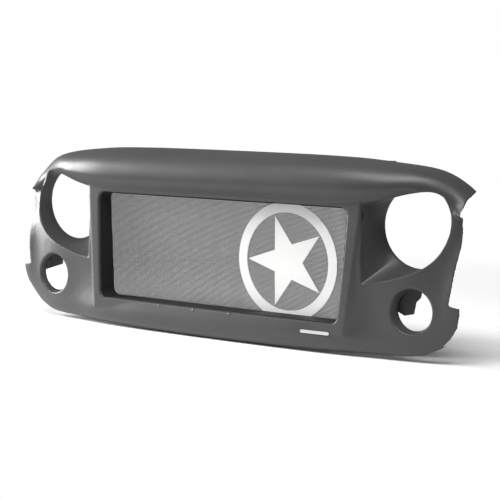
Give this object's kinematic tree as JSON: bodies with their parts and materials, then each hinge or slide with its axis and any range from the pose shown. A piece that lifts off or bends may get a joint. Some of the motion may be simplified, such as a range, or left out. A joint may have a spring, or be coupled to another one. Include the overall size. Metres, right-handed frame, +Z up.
{
  "type": "front grille",
  "caption": "One-piece moulded front grille with an overhanging brow, round headlight and signal lamp openings and a recessed mesh insert.",
  "frame": {"origin": "middle of the inner pair of clip holes, on the top face of the top flange", "axes": "+X along the width towards the viewer's right, +Y back into the car, +Z up"},
  "size_m": [1.454, 0.1853, 0.5001],
  "materials": {
    "shell_plastic": "fine-grained matte black moulding",
    "liner_plastic": "matte black",
    "mesh_metal": "satin grey powder coat on fine mesh",
    "strip_metal": "black powder coat",
    "zinc": "bright zinc plate",
    "emblem_white": "satin white paint",
    "badge_metal": "satin aluminium, blank",
    "bracket_plastic": "matte black",
    "spring_steel": "dark phosphated spring steel"
  },
  "bodies": {
    "root": {"grille_shell": "shell_plastic", "mesh_surround": "liner_plastic", "mesh_panel": "mesh_metal", "mesh_retainer_top": "strip_metal", "mesh_retainer_bottom": "strip_metal", "mesh_retainer_left": "strip_metal", "mesh_retainer_right": "strip_metal", "mesh_washers": "zinc", "mesh_screws": "zinc", "emblem_star": "emblem_white", "emblem_ring": "emblem_white", "emblem_push_nuts": "zinc", "badge_strip": "badge_metal", "signal_bracket_left": "bracket_plastic", "signal_bracket_right": "bracket_plastic", "bracket_screws": "zinc", "lower_snap_clips": "spring_steel"}
  },
  "joints": []
}
